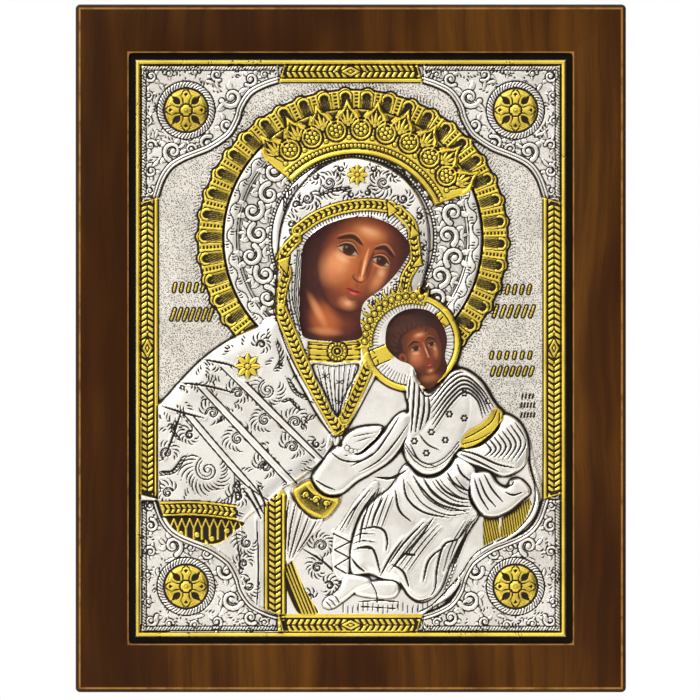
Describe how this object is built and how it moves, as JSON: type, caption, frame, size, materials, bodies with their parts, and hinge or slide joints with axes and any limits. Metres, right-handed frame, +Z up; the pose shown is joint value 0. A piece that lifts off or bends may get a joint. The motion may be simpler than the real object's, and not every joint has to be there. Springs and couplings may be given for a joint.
{
  "type": "icon panel",
  "caption": "Wall icon: an embossed silvered and gilt metal cover over a painted panel, set in the recess of a dark walnut board.",
  "frame": {"origin": "centre of the board's flat back, which lies against the wall", "axes": "+Z up the wall, +Y into the wall, so that the work faces -Y, and +X to the viewer's right"},
  "size_m": [0.24, 0.0248, 0.3],
  "materials": {
    "walnut": "dark stained walnut under a satin lacquer",
    "edge_paint": "matt black paint on the board's edges",
    "panel_paint": "warm ochre and brown painting under varnish",
    "silvered_metal": "polished silvered sheet with black-brown patina in the chasing",
    "gilt_metal": "bright yellow gilding with dark patina in the chasing"
  },
  "bodies": {
    "root": {"walnut_board": "walnut", "painted_panel": "panel_paint", "embossed_cover": "silvered_metal"}
  },
  "joints": []
}
